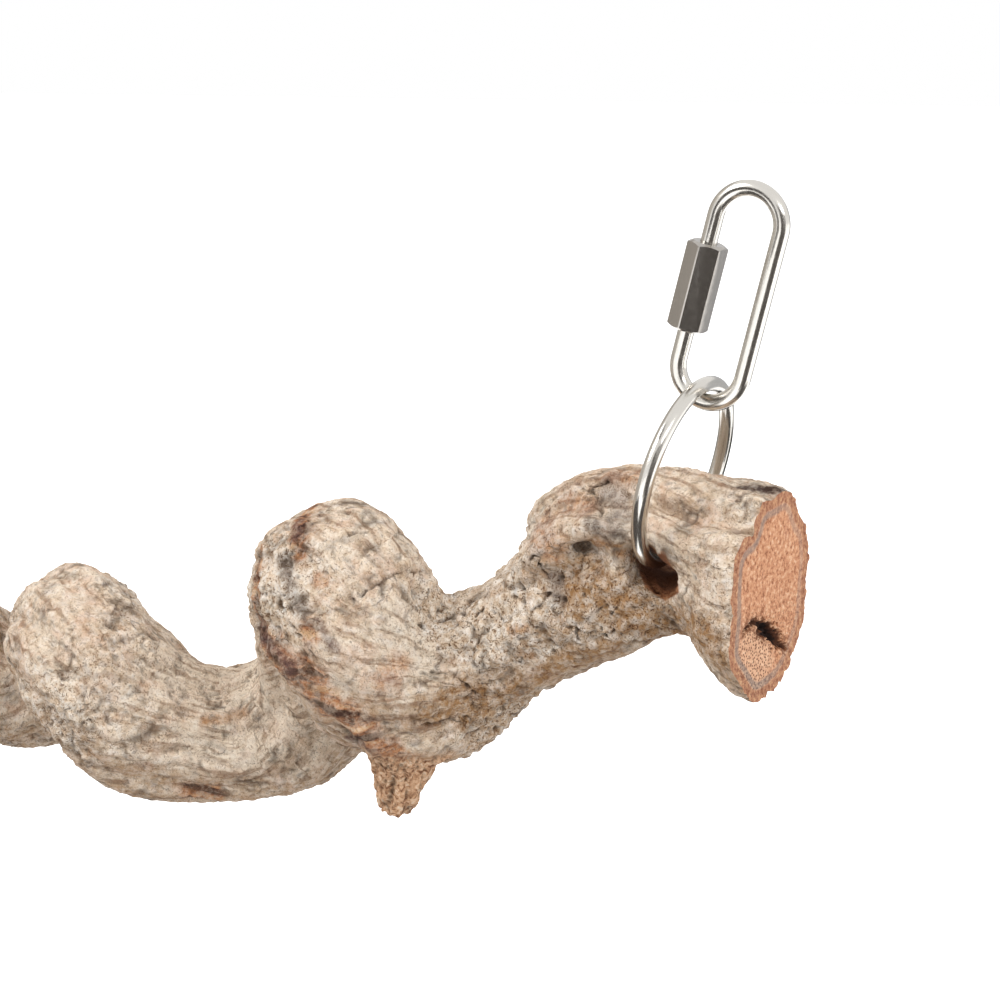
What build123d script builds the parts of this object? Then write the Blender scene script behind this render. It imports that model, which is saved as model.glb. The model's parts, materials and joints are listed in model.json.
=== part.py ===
from build123d import *
from collections import namedtuple
from math import cos, pi, radians, sin, sqrt, tan
import os

# Hanging bird perch: a corkscrew branch that hangs at both ends from a ring and a screw-gate quick link.
# Frame: millimetres, +Z up. The origin is the crown of the right link's bow, where a cage bar bears.
# The left crown lies on the -X axis, and the holes through the branch run along Y, from front, -Y, to back.

# Quick link: round wire bent to a long oval, closed by a hexagonal sleeve nut
link_wire = 4.0
link_width = 20.5  # outside
nut_length = 21.0
nut_flats = 8.6  # across flats
nut_turn = 27.0  # degrees about its leg that the nut has come to rest at
nut_bevel = 30.0  # degrees, turned on both ends of the nut
gate_gap = 3.9  # opening between the two wire ends
thread_grip = 2.5  # length of the upper wire end inside the closed nut
leg_spare = 0.35  # straight leg left between the open nut and the bow
thread_clearance = 0.05  # radial, nut bore over the wire
tip_bevel = 0.5  # on both wire ends

# Ring: a plain welded ring of round wire
ring_wire = 3.7
ring_bore = 40.3  # inside diameter

# How the pieces hang
lean = 14.6  # degrees that each ring and link lean outwards
hang_clearance = 0.3  # between pieces that bear on each other

# Branch
hole_span = 260.0  # between the two drilled holes
hole_bore = 10.0  # drilled diameter
hole_depth = 24.0  # wood that each hole goes through
mouth_bevel = 1.5  # worn edge of the hole's mouths
stub_length = 33.0  # broken side twig, from inside the branch to its break
stub_root = 14.5  # its radius inside the branch
stub_tip = 3.8  # its radius at the break
stub_lean = 8.0  # degrees that it leans to the left
stub_place = 0.250  # share of the span between the holes, from the right one
stub_across = -6.0
stub_height = -38.0  # of its root, below the holes
saw_place = 31.0  # right end's cut, from the right hole
saw_turn = 6.0  # degrees that the cut turns to the front
saw_spare = 7.0  # branch beyond the cut, sawn off

# Bark ridges: they run along the branch, wind round it and swell into gnarls
ridge_count = 8  # round the branch
ridge_height = 1.9  # from furrow to crest
ridge_start = 30.0  # degrees up from the front to the first furrow, at the right end
ridge_twist = 0.3  # degrees round the branch for each millimetre along it
ridge_fade = 26.0  # length beside each hole over which the ridges die away
gnarl_length = 37.0  # along a ridge, from one swelling to the next
gnarl_share = 0.8  # of the ridge's height that comes and goes with the swellings
gnarl_stagger = 137.5  # degrees of that wave from a furrow to the crest beside it

# Cross-sections of the branch. Each is an oval: where its centre is, its half width across,
# its half height, how far its tilt follows the branch's own direction, from 0, upright, to 1,
# and the degrees that its top leans to the back.
Oval = namedtuple("Oval", "along across height half_width half_height follow lean_back", defaults=[0])

# Sawn right end, measured from the right hole
right_end = [
    Oval(saw_place + saw_spare, -5.0, -6.8, 21.5, 23.8, 0.3, 12),
    Oval(25.0, -4.0, -4.0, 18.5, 23.3, 0.5, 10),
    Oval(13.5, -1.5, 1.0, 14.5, 20.0, 0.5, 5),
    Oval(0.0, 0.0, 1.5, 12.4, 20.5, 0.5),
]
# Between the holes. Along is a share of the span between them, from right to left.
body = [
    Oval(0.053, 2.0, -3.0, 15.5, 23.0, 0.5),
    Oval(0.100, 6.0, -9.0, 16.5, 20.9, 0.5),
    Oval(0.140, 8.0, -17.3, 16.0, 21.9, 0.0),
    Oval(0.188, 7.0, -32.0, 16.5, 19.0, 0.0),
    Oval(0.232, 1.0, -37.0, 18.5, 21.0, 0.5),
    Oval(0.275, -7.0, -30.5, 20.0, 25.5, 0.6),
    Oval(0.320, -9.5, -19.0, 20.0, 26.5, 0.3),
    Oval(0.357, -5.0, -16.5, 19.0, 21.0, 0.4),
    Oval(0.384, 5.0, -27.0, 17.5, 18.5, 0.55),
    Oval(0.394, 12.5, -38.0, 16.5, 18.0, 0.75),
    Oval(0.408, 16.0, -49.0, 16.5, 17.5, 0.75),
    Oval(0.437, 15.5, -57.0, 17.0, 17.8, 0.7),
    Oval(0.480, 11.5, -61.0, 17.5, 17.7, 0.8),
    Oval(0.527, 3.5, -61.0, 18.0, 18.5, 0.7),
    Oval(0.566, -5.5, -54.5, 18.5, 20.5, 0.7),
    Oval(0.606, -9.0, -44.5, 18.5, 21.0, 0.7),
    Oval(0.645, -5.5, -38.0, 18.5, 20.0, 0.7),
    Oval(0.675, 3.5, -40.0, 18.0, 18.5, 0.7),
    Oval(0.697, 10.5, -47.5, 17.5, 17.5, 0.7),
    Oval(0.729, 12.5, -53.5, 17.0, 17.0, 0.6),
    Oval(0.768, 8.0, -54.5, 17.0, 17.0, 0.6),
    Oval(0.805, 0.0, -48.0, 17.0, 17.5, 0.7),
    Oval(0.845, -5.5, -36.0, 17.0, 18.0, 0.7),
    Oval(0.890, -5.5, -21.5, 16.5, 18.5, 0.6),
    Oval(0.940, -2.5, -8.0, 15.5, 19.0, 0.5),
]
# Sawn left end, measured from the left hole
left_end = [
    Oval(0.0, 0.0, 2.0, 12.4, 18.5, 0.5),
    Oval(-13.0, 1.0, 6.0, 15.0, 17.5, 0.5),
    Oval(-28.0, 2.5, 7.5, 15.5, 17.0, 0.5),
]

# Sizes that follow
nut_travel = gate_gap + thread_grip
nut_half = nut_length / 2
nut_corner = nut_flats / 2 / cos(radians(30))
bevel_width = 2 * (nut_corner - nut_flats / 2)
bevel_drop = bevel_width * tan(radians(nut_bevel))
gate_low = nut_half - nut_travel
bow_radius = (link_width - link_wire) / 2
leg_half = nut_half + nut_travel + leg_spare
ring_radius = (ring_bore + ring_wire) / 2
ring_sag = ring_radius - sqrt(ring_radius**2 - (hole_depth / 2) ** 2)
hole_radius = hole_bore / 2
roof_to_axis = hole_radius - ring_wire / 2 - hang_clearance
eye_to_link = leg_half + bow_radius - link_wire / 2
eye_to_ring_top = 2 * eye_to_link - hang_clearance - ring_wire / 2
eye_to_ring = eye_to_ring_top + ring_radius
eye_to_hole = eye_to_ring + ring_radius - ring_sag + roof_to_axis
lean_out = sin(radians(lean))
lean_up = cos(radians(lean))
right_eye = Vector(0, 0, 0)
right_hole = right_eye + Vector(-eye_to_hole * lean_out, 0, -eye_to_hole * lean_up)
left_hole = right_hole - Vector(hole_span, 0, 0)
left_eye = left_hole + Vector(-eye_to_hole * lean_out, 0, eye_to_hole * lean_up)

os.makedirs("parts", exist_ok=True)

# Centres of the cross-sections, from right to left
ovals = right_end + body + left_end
centres = [right_hole + Vector(o.along, o.across, o.height) for o in right_end]
centres += [right_hole + Vector(-o.along * hole_span, o.across, o.height) for o in body]
centres += [left_hole + Vector(o.along, o.across, o.height) for o in left_end]
runs = [0]  # distance along the branch from its right end
for start, end in zip(centres, centres[1:]):
    runs.append(runs[-1] + (end - start).length)


def oval_plane(i):
    """Plane of the i-th cross-section: it faces left, tilts with the branch and keeps Y as its width."""
    path = centres[min(i + 1, len(centres) - 1)] - centres[max(i - 1, 0)]
    follow = ovals[i].follow
    forward = (path.normalized() * follow + Vector(-1, 0, 0) * (1 - follow)).normalized()
    upward = forward.cross(Vector(0, -1, 0))
    return Plane(centres[i], x_dir=upward.cross(forward), z_dir=forward)


def ridge_reach(i):
    """Height of a crest over the i-th oval: less near a hole, where the ring swings."""
    from_hole = min(abs(centres[i].X - right_hole.X), abs(centres[i].X - left_hole.X))
    return ridge_height / 2 * min(1, from_hole / ridge_fade)


def ridge_point(i, step):
    """Point on the outline of the i-th cross-section. An even step is a furrow and an odd one a crest."""
    step = step % (2 * ridge_count)
    oval = ovals[i]
    angle = radians(ridge_start + ridge_twist * runs[i] + 180 * step / ridge_count)
    swelling = sin(2 * pi * runs[i] / gnarl_length + radians(gnarl_stagger) * step)
    crest = ridge_reach(i) * (1 + gnarl_share * swelling)
    rise = crest if step % 2 else -crest
    width = (oval.half_width + rise) * cos(angle)
    height = (oval.half_height + rise) * sin(angle)
    return Vector(width, height).rotate(Axis.Z, oval.lean_back)


# Branch: lofted through its ridged cross-sections, sawn, joined by the broken twig and drilled at both ends
mouth = hole_depth / 2
mouth_reach = hole_depth
mouth_wide = hole_radius + mouth_reach - mouth + mouth_bevel / 2
stub_start = right_hole + Vector(-stub_place * hole_span, stub_across, stub_height)
stub_way = Vector(-sin(radians(stub_lean)), 0, -cos(radians(stub_lean)))
saw_way = Vector(cos(radians(saw_turn)), -sin(radians(saw_turn)), 0)
saw_plane = Plane(right_hole + Vector(saw_place, 0, 0), z_dir=saw_way)
with BuildPart() as branch:
    for i in range(len(ovals)):
        with BuildSketch(oval_plane(i)):
            with BuildLine():
                for step in range(0, 2 * ridge_count, 2):
                    ThreePointArc(ridge_point(i, step), ridge_point(i, step + 1), ridge_point(i, step + 2))
            make_face()
    loft()
    split(bisect_by=saw_plane, keep=Keep.BOTTOM)
    with BuildSketch(Plane(stub_start, z_dir=stub_way)):
        Circle(stub_root)
    with BuildSketch(Plane(stub_start + stub_way * stub_length, z_dir=stub_way)):
        Circle(stub_tip)
    loft()
    for hole in (right_hole, left_hole):
        with BuildSketch(Plane(hole, x_dir=(0, 1, 0), z_dir=(1, 0, 0))):
            with BuildLine():
                Polyline(
                    (-mouth_reach, 0),
                    (mouth_reach, 0),
                    (mouth_reach, mouth_wide),
                    (mouth - mouth_bevel / 2, hole_radius),
                    (mouth_bevel / 2 - mouth, hole_radius),
                    (-mouth_reach, mouth_wide),
                    close=True,
                )
            make_face()
        revolve(axis=Axis(hole, (0, 1, 0)), mode=Mode.SUBTRACT)
branch.part.label = "perch_branch"
export_step(branch.part, "parts/perch_branch.step")

# Each end hangs from a ring, a link and the link's nut. A side of 1 is right and -1 is left.
for hand, side, eye in (("right", 1, right_eye), ("left", -1, left_eye)):
    up = Vector(side * lean_out, 0, lean_up)
    out = Vector(side * lean_up, 0, -lean_out)
    link_centre = eye - up * eye_to_link
    ring_centre = eye - up * eye_to_ring
    leg_centre = link_centre - out * bow_radius

    # Link: an oval of wire whose inner leg is cut open for the gate
    with BuildPart() as link:
        with BuildLine(Plane(link_centre, x_dir=out, z_dir=(0, -side, 0))) as route:
            Line((-bow_radius, gate_low + gate_gap), (-bow_radius, leg_half))
            ThreePointArc((-bow_radius, leg_half), (0, leg_half + bow_radius), (bow_radius, leg_half))
            Line((bow_radius, leg_half), (bow_radius, -leg_half))
            ThreePointArc((bow_radius, -leg_half), (0, -leg_half - bow_radius), (-bow_radius, -leg_half))
            Line((-bow_radius, -leg_half), (-bow_radius, gate_low))
        with BuildSketch(Plane(route.line @ 0, z_dir=route.line % 0)):
            Circle(link_wire / 2)
        sweep()
        chamfer(link.faces().filter_by(GeomType.PLANE).edges(), tip_bevel)
    link.part.label = f"quick_link_{hand}"
    export_step(link.part, f"parts/quick_link_{hand}.step")

    # Nut: a hexagonal sleeve over the gate, with turned bevels and a bore that runs on the wire
    with BuildPart() as nut:
        with BuildSketch(Plane(leg_centre, x_dir=out, z_dir=up)):
            RegularPolygon(nut_flats / 2, 6, major_radius=False, rotation=nut_turn)
        extrude(amount=nut_half, both=True)
        with BuildSketch(Plane(leg_centre, x_dir=out, z_dir=(0, -side, 0))):
            with BuildLine():
                Polyline(
                    (0, -nut_half),
                    (nut_corner - bevel_width, -nut_half),
                    (nut_corner, bevel_drop - nut_half),
                    (nut_corner, nut_half - bevel_drop),
                    (nut_corner - bevel_width, nut_half),
                    (0, nut_half),
                    close=True,
                )
            make_face()
        revolve(axis=Axis(leg_centre, up), mode=Mode.INTERSECT)
        with BuildSketch(Plane(leg_centre, x_dir=out, z_dir=up)):
            Circle(link_wire / 2 + thread_clearance)
        extrude(amount=nut_half, both=True, mode=Mode.SUBTRACT)
    nut.part.label = f"link_nut_{hand}"
    export_step(nut.part, f"parts/link_nut_{hand}.step")

    # Ring: stands in the plane of its hole and leans with the link
    with BuildPart() as ring:
        with BuildSketch(Plane(ring_centre, x_dir=(0, 1, 0), z_dir=up)):
            with Locations((ring_radius, 0)):
                Circle(ring_wire / 2)
        revolve(axis=Axis(ring_centre, out))
    ring.part.label = f"hanging_ring_{hand}"
    export_step(ring.part, f"parts/hanging_ring_{hand}.step")

print("right hole", right_hole, "left hole", left_hole, "left eye", left_eye)
print("hole radius", hole_radius, "nut travel", nut_travel, "eye to ring top", eye_to_ring_top)
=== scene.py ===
# %% [markdown]
# # A hanging bird perch
# The perch is a gnarled branch that grew like a corkscrew and was sawn off at both ends. A hole is drilled
# through it near each end. A welded steel ring runs through the hole, and a steel quick link with a screw
# nut hangs on the ring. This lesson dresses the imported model: the frame gives every piece its place, and
# the cells below give the wood its bark, the sawn ends their grain and the steel its polish.

# %% Load the frame
import json
from math import cos, radians, sin

import bmesh
import bpy
import numpy as np
from mathutils import Matrix, Vector, noise
from mathutils.bvhtree import BVHTree
from mathutils.kdtree import KDTree


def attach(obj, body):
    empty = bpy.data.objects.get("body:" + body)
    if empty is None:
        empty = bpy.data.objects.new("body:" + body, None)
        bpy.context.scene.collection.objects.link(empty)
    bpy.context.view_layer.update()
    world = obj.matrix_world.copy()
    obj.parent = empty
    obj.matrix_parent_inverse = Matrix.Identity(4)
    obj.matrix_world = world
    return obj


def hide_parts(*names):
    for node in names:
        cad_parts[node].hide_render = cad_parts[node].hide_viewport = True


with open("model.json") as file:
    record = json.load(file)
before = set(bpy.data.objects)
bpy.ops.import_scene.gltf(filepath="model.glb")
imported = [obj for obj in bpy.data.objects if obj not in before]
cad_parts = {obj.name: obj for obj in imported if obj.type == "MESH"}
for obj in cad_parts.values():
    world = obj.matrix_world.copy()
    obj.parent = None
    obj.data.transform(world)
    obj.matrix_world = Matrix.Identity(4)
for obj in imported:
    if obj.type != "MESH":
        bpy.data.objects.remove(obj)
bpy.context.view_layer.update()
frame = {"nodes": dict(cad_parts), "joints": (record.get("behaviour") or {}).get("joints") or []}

MM = 0.001
swing_range = {joint["name"]: joint.get("range_deg") for joint in frame["joints"]}
joint_place = {joint["name"]: Vector(joint.get("pos_m", (0, 0, 0))) for joint in frame["joints"]}
right_hole = joint_place["right_ring_swing"]
left_hole = joint_place["left_ring_swing"]
print("nodes:", sorted(frame["nodes"]))
print("distance between the holes, mm:", round((right_hole - left_hole).length / MM, 1))

# %% [markdown]
# ## The camera
# The camera comes first, because later cells look through it to find where a mark in the photograph lies
# on the wood. It stands a little to the right of the perch and looks slightly down. The lens is long, as in
# a studio, so that the ring and the far end keep their proportions.

# %% Camera
photo_size = 1000  # pixels, both ways
sensor = 36.0  # mm
pixels_per_mm = 4.1  # at the point that the camera aims at
camera_azimuth = radians(27.5)
camera_elevation = radians(10.0)
camera_distance = 650 * MM
aim = Vector((-65.5, 0.0, -75.2)) * MM
focal_pixels = pixels_per_mm * camera_distance / MM

back = Vector((sin(camera_azimuth), -cos(camera_azimuth), 0)) * cos(camera_elevation)
back.z = sin(camera_elevation)
camera_data = bpy.data.cameras.new("camera")
camera_data.sensor_width = sensor
camera_data.lens = focal_pixels * sensor / photo_size
camera_data.clip_start = 10 * MM
camera = bpy.data.objects.new("camera", camera_data)
camera.location = aim + back * camera_distance
camera.rotation_euler = back.to_track_quat("Z", "Y").to_euler()
bpy.context.scene.collection.objects.link(camera)
bpy.context.scene.camera = camera
print("lens, mm:", round(camera_data.lens, 1))

# %% Seen through the camera
def sight_line(column, row):
    """Direction from the camera through a pixel of the photograph."""
    turn = camera.rotation_euler.to_quaternion()
    half = photo_size / 2
    return (turn @ Vector((column - half, half - row, -focal_pixels))).normalized()


def pixels_of(places):
    """Pixels of the photograph at which the camera sees these places."""
    seen = (places - np.array(camera.location)) @ np.array(camera.rotation_euler.to_matrix())
    return photo_size / 2 + focal_pixels * np.stack([-seen[:, 0], seen[:, 1]], axis=1) / seen[:, 2:]


print("pixel that the camera aims at:", pixels_of(np.array([aim])).round()[0])

# %% [markdown]
# ## A fine skin for the branch
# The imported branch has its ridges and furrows, but in long triangles. Bark needs many small, even faces that
# can be moved, so a merged copy is remeshed with voxels. A subdivision would follow the long triangles and
# give uneven bark.

# %% Even mesh
form_voxel = 1.0 * MM
bark_voxel = 0.78 * MM
merge_distance = 0.001 * MM


def in_scene(name, mesh):
    """A new object at the origin with this mesh."""
    piece = bpy.data.objects.new(name, mesh)
    bpy.context.scene.collection.objects.link(piece)
    return piece


def mesh_of(body, name):
    """A new mesh out of a bmesh, which is freed."""
    mesh = bpy.data.meshes.new(name)
    body.to_mesh(mesh)
    body.free()
    return mesh


def finished_mesh(piece):
    """The mesh that a piece's modifiers give. The piece itself is removed."""
    graph = bpy.context.evaluated_depsgraph_get()
    result = bpy.data.meshes.new_from_object(piece.evaluated_get(graph))
    bpy.data.objects.remove(piece)
    return result


def remeshed(mesh, voxel):
    """A copy of a closed mesh with even faces of about one voxel."""
    holder = in_scene("holder", mesh)
    even = holder.modifiers.new("even", "REMESH")
    even.mode = "VOXEL"
    even.voxel_size = voxel
    return finished_mesh(holder)


wood = bmesh.new()
wood.from_mesh(frame["nodes"]["perch_branch"].data)
bmesh.ops.remove_doubles(wood, verts=wood.verts, dist=merge_distance)
skin = mesh_of(wood, "branch_skin")
print("merged branch, faces:", len(skin.polygons))

# %% [markdown]
# ## The torn mouth of the hole
# The drill tore the soft bark where it went in, so the hole in front is wider than the drill, towards its
# lower right, and its edge is ragged. A cone with an uneven edge has the shape of what broke away, and a
# boolean takes it out of the branch. The photograph gives the middle of the mouth.

# %% Middle of the mouth
mouth_pixel = (659, 578)


def surface_of(mesh):
    """A search tree of a mesh's faces, for casting rays at it."""
    return BVHTree.FromPolygons([v.co for v in mesh.vertices], [p.vertices for p in mesh.polygons])


def cast(surface, pixels):
    """Places on a surface that the camera sees at these pixels of the photograph."""
    hits = [surface.ray_cast(camera.location, sight_line(*pixel))[0] for pixel in pixels]
    return [np.array(hit) for hit in hits if hit is not None]


mouth_place = Vector(cast(surface_of(skin), [mouth_pixel])[0])
print("middle of the mouth, mm:", [round(c / MM, 1) for c in mouth_place])

# %% Tear the mouth
mouth_radius = 6.0 * MM
mouth_inner_radius = 4.6 * MM
mouth_depth = 15 * MM
mouth_sides = 13
mouth_raggedness = 0.16  # share of the radius
plug = bmesh.new()
bmesh.ops.create_cone(
    plug,
    cap_ends=True,
    segments=mouth_sides,
    radius1=mouth_radius,
    radius2=mouth_inner_radius,
    depth=2 * mouth_depth,
)
bmesh.ops.subdivide_edges(plug, edges=plug.edges, cuts=2, use_grid_fill=True)
for vertex in plug.verts:
    widening = 1 + mouth_raggedness * noise.noise(vertex.co / mouth_inner_radius)
    vertex.co = Vector((vertex.co.x * widening, vertex.co.y * widening, vertex.co.z))
drill_way = Vector((right_hole.x, mouth_place.y + 2 * mouth_depth, right_hole.z)) - mouth_place
bmesh.ops.rotate(plug, verts=plug.verts, matrix=drill_way.to_track_quat("Z", "Y").to_matrix())
bmesh.ops.translate(plug, verts=plug.verts, vec=mouth_place)
plug_holder = in_scene("mouth_plug", mesh_of(plug, "mouth_plug"))
torn = in_scene("torn_branch", skin)
tear = torn.modifiers.new("tear", "BOOLEAN")
tear.operation = "DIFFERENCE"
tear.object = plug_holder
skin = remeshed(finished_mesh(torn), form_voxel)
bpy.data.objects.remove(plug_holder)
print("skin with its torn mouth, faces:", len(skin.polygons))

# %% [markdown]
# ## Forms that the photograph shows
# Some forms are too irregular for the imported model: the shoulder that overhangs a dark hollow, the furrow
# that runs to the sawn end, the ridge where old bark was stripped off. Each is a stroke across the
# photograph, as a carver would draw it on the wood. A ray from the camera through each pixel finds the wood,
# and the skin near the stroke is pushed in or pulled out along its normal. The deepest pocket of the hollow
# goes straight back instead, so that the lip above it overhangs.

# %% Points, paths and soft edges
def read_points(mesh, what="co"):
    """Vertex places or normals of a mesh as an array of rows."""
    flat = np.zeros(len(mesh.vertices) * 3, np.float32)
    mesh.vertices.foreach_get(what, flat)
    return flat.reshape(-1, 3).astype(float)


def write_points(mesh, points):
    """Moves the vertices of a mesh to an array of rows."""
    mesh.vertices.foreach_set("co", points.astype(np.float32).ravel())
    mesh.update()


def distance_to(points, path):
    """Distance of every point from a path of straight runs."""
    nearest = np.full(len(points), np.inf)
    for start, end in zip(path, path[1:]):
        run = end - start
        share = np.clip((points - start) @ run / (run @ run), 0, 1)
        nearest = np.minimum(nearest, np.linalg.norm(points - start - share[:, None] * run, axis=1))
    return nearest


def eased(share):
    """Shares clipped to 0 to 1, with soft ends."""
    share = np.clip(share, 0, 1)
    return share * share * (3 - 2 * share)


points, normals = read_points(skin), read_points(skin, "normal")
surface = surface_of(skin)
print("points on the skin:", len(points))

# %% Strokes on the wood
# Name, height in mm (below 0 is into the wood), half width in mm, and pixels of the photograph
form_strokes = [
    ("hollow under the shoulder", -2.6, 4.0, [(556, 600), (556, 580), (562, 563), (572, 554), (590, 551)]),
    ("shallow end of the hollow", -1.6, 2.4, [(590, 551), (606, 552), (622, 553)]),
    ("lip of the hollow", 2.4, 3.2, [(530, 556), (545, 550), (556, 541), (566, 533), (582, 532), (604, 537)]),
    ("sunken side below it", -2.0, 9.0, [(588, 590), (612, 600)]),
    ("long furrow", -2.2, 2.0, [(662, 512), (684, 519), (698, 523), (714, 522), (728, 526), (748, 531)]),
    ("swelling below the furrow", 1.4, 4.5, [(668, 540), (692, 538), (716, 541), (734, 550)]),
    ("chip out of the sawn edge", -2.2, 1.6, [(753, 511), (749, 520), (752, 529)]),
    ("stripped ridge", 2.0, 3.4, [(264, 634), (282, 656), (312, 686), (342, 716), (374, 742), (396, 762)]),
    ("slit below the ridge", -2.5, 1.4, [(334, 720), (345, 728), (360, 740)]),
    ("right flank of the bulge", 2.2, 3.0, [(427, 584), (434, 597)]),
    ("healed scar", -1.6, 3.4, [(612, 499), (621, 506)]),
    ("nodule below the scar", 1.8, 2.0, [(592, 522), (596, 525)]),
]
push = np.zeros(len(points))
for name, height, width, pixels in form_strokes:
    push += height * MM * eased(1 - distance_to(points, cast(surface, pixels)) / (2 * width * MM))
print("forms pushed, mm:", round(push.min() / MM, 1), "to", round(push.max() / MM, 1))

# %% Pocket of the hollow
pocket_depth = 5.5 * MM
pocket_width = 0.9 * MM
pocket_pixels = [(576, 549), (583, 547)]
pocket_path = cast(surface, pocket_pixels)
pocket = eased(1.3 - distance_to(points, pocket_path) / (2 * pocket_width))
inward = -np.array((back.x, back.y, 0))
write_points(skin, points + normals * push[:, None] + inward * (pocket_depth * pocket)[:, None])
skin = remeshed(skin, bark_voxel)
print("skin, faces:", len(skin.polygons))

# %% [markdown]
# ## Which way the grain runs
# Furrows in bark follow the branch, however it twists. The heart line, down the middle of the wood, is found
# by slicing the skin and taking the middle of each slice. Each point of the skin then gets its place along
# the heart and its way round it, so that a pattern can be stretched along the grain.

# %% Heart line and grain
slice_step = 2.5 * MM
slice_smoothing = 5
grain_radius = 18 * MM
batches = 60  # keeps the tables of distances small
points, normals = read_points(skin), read_points(skin, "normal")
surface = surface_of(skin)
slices = np.arange(points[:, 0].max() - slice_step, points[:, 0].min(), -slice_step)
heart = np.array([points[np.abs(points[:, 0] - x) < slice_step].mean(axis=0) for x in slices])
kernel = np.ones(slice_smoothing) / slice_smoothing
padded = np.pad(heart, ((slice_smoothing // 2,) * 2, (0, 0)), mode="edge")
heart = np.array([np.convolve(padded[:, i], kernel, mode="valid") for i in range(3)]).T
along_heart = np.concatenate([[0], np.cumsum(np.linalg.norm(np.diff(heart, axis=0), axis=1))])
direction = np.gradient(heart, axis=0)
direction /= np.linalg.norm(direction, axis=1)[:, None]

nearest = np.concatenate(
    [
        np.argmin(np.linalg.norm(batch[:, None] - heart, axis=2), axis=1)
        for batch in np.array_split(points, batches)
    ]
)
offset = points - heart[nearest]
beyond = np.sum(offset * direction[nearest], axis=1)
across = np.cross(direction[nearest], (0, 0, 1))
across /= np.linalg.norm(across, axis=1)[:, None]
upward = np.cross(across, direction[nearest])
angle = np.arctan2(np.sum(offset * upward, axis=1), np.sum(offset * across, axis=1))
grain = np.stack(
    [along_heart[nearest] + beyond, grain_radius * np.cos(angle), grain_radius * np.sin(angle)], axis=1
)
print("length of the heart line, mm:", round(along_heart[-1] / MM))

# %% [markdown]
# ## Bark
# Old bark is crumbly: round lumps of a few millimetres, with creases between them where it dried and split,
# and long furrows with the grain. The absolute value of a smooth noise has just that shape, round tops and
# sharp valleys. Several sizes of it are added up and push the skin along its normal. Tops, undersides and the
# lower turn at the left are smoother, and the neck crumbles most. Creases come and go, so another noise
# breaks them into short cracks. How deep a point lies in a crease or a pit is kept, because dust and shade
# darken it.

# %% Noise for the bark
steepness, flat_top = 1.6, 0.7


def smooth_noise(places, size, shift):
    """Noise of about -1 to 1 whose lumps have this size. Another shift gives other lumps."""
    return np.array([noise.noise(place) for place in (places / size + shift).tolist()])


def rounded(ridged):
    """Round tops and sharp valleys, from -1 to 1, out of the absolute value of a noise."""
    return np.minimum(ridged * steepness, flat_top) / (flat_top / 2) - 1


warp_size = 6 * MM
lump_warp, furrow_warp = 1.8, 1.2  # mm
warp = np.stack([smooth_noise(points, warp_size, shift) for shift in (3.1, 17.7, 41.3)], axis=1)
print("bark wanders by up to, mm:", round(lump_warp * np.abs(warp).max(), 1))

# %% Lumps, crumbs, furrows and pits
swell_size = 13 * MM
lump_size = 4.4 * MM
crumb_size = 2.2 * MM
furrow_size = 3.8 * MM
furrow_stretch = (0.3, 1, 1)  # along the grain, and round the branch
pit_size = 2.0 * MM
pit_level, pit_edge = 0.46, 0.12  # only the peaks of the noise are pits
wandering = points + warp * lump_warp * MM
swell = smooth_noise(points, swell_size, 5.5)
lumps = np.abs(smooth_noise(wandering, lump_size, 11.0))
crumbs = np.abs(smooth_noise(wandering, crumb_size, 23.0))
furrow_grain = (grain + warp * furrow_warp * MM) * furrow_stretch
furrows = np.abs(smooth_noise(furrow_grain, furrow_size, 31.0))
pits = eased((smooth_noise(wandering, pit_size, 37.0) - pit_level) / pit_edge)
print("pitted share of the bark:", round(float(pits.mean()), 3))

# %% Where the bark crumbles and cracks
crumbly_size = 26 * MM
crumbly_level, crumbly_contrast = 0.62, 0.9
worn_flat = 0.5  # how much less the tops and undersides crumble
cracking_size = 7 * MM
cracking_level, cracking_contrast = 0.48, 1.5
neck_pixels = [(430, 612), (480, 636), (530, 636), (580, 610), (640, 610)]
neck_width = 10 * MM
lower_turn_pixels = [(190, 725), (250, 738), (310, 730), (352, 722)]
lower_turn_width = 20 * MM
lower_turn_wear = 0.8
crumbly_noise = smooth_noise(points, crumbly_size, 57.0)
crumbly = eased(crumbly_level + crumbly_contrast * crumbly_noise - worn_flat * np.abs(normals[:, 2]))
from_neck = distance_to(points, cast(surface, neck_pixels))
crumbly = np.maximum(crumbly, eased(1.5 - from_neck / neck_width))
from_lower_turn = distance_to(points, cast(surface, lower_turn_pixels))
crumbly *= 1 - lower_turn_wear * eased(1.5 - from_lower_turn / lower_turn_width)
cracking = eased(cracking_level + cracking_contrast * smooth_noise(points, cracking_size, 61.0))
print("crumbly share of the bark:", round(float(crumbly.mean()), 2))

# %% Bark relief
swell_height = 0.7 * MM
lump_height = 0.5 * MM
furrow_height = 0.32 * MM
crumb_height = 0.3 * MM
pit_depth = 0.7 * MM
lump_crease, furrow_crease, crumb_crease = 0.11, 0.09, 0.10  # how far up its sides a valley is dark
# Each kind has its share on sound bark, and crumbly bark adds to that or takes from it
relief = swell_height * swell
relief += lump_height * (0.3 + 0.9 * crumbly) * rounded(lumps)
relief += furrow_height * (1 - 0.6 * crumbly) * rounded(furrows)
relief += crumb_height * (0.4 + 0.8 * crumbly) * rounded(crumbs)
relief -= pit_depth * pits * (0.3 + 0.7 * crumbly)
crease = eased(1 - lumps / lump_crease) * cracking
crease = np.maximum(crease, eased(1 - furrows / furrow_crease) * (1 - 0.4 * crumbly) * cracking)
crease = np.maximum(crease, 0.6 * eased(1 - crumbs / crumb_crease) * crumbly * cracking)
crease = np.maximum(crease, pits * (0.35 + 0.65 * crumbly))
print("creased share of the bark:", round(float(crease.mean()), 2))

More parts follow.
